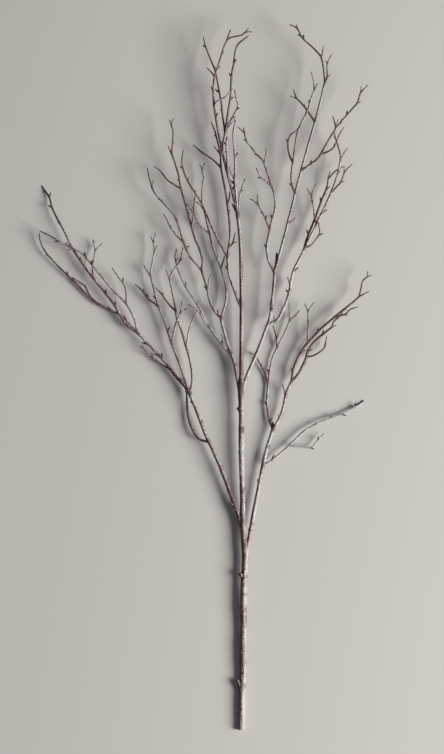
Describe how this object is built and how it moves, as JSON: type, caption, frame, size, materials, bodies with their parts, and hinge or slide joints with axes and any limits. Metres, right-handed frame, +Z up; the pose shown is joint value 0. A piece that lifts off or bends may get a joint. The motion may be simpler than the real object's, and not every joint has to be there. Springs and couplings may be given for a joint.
{
  "type": "birch branch",
  "caption": "Bare, twiggy cut birch branch lying flat, with forked limbs, fine bud-tipped twigs and a slanted cut end.",
  "frame": {"origin": "on the surface that the branch lies on, under the middle of its bounding box", "axes": "+Y from the cut end to the twig tips, +X to the right as the branch is seen from above, +Z up off the surface"},
  "size_m": [0.4343, 0.9198, 0.035],
  "materials": {
    "bark": "smooth dark reddish bark with a thin silvery bloom, slightly glossy"
  },
  "bodies": {
    "root": {"birch_branch": "bark"}
  },
  "joints": []
}
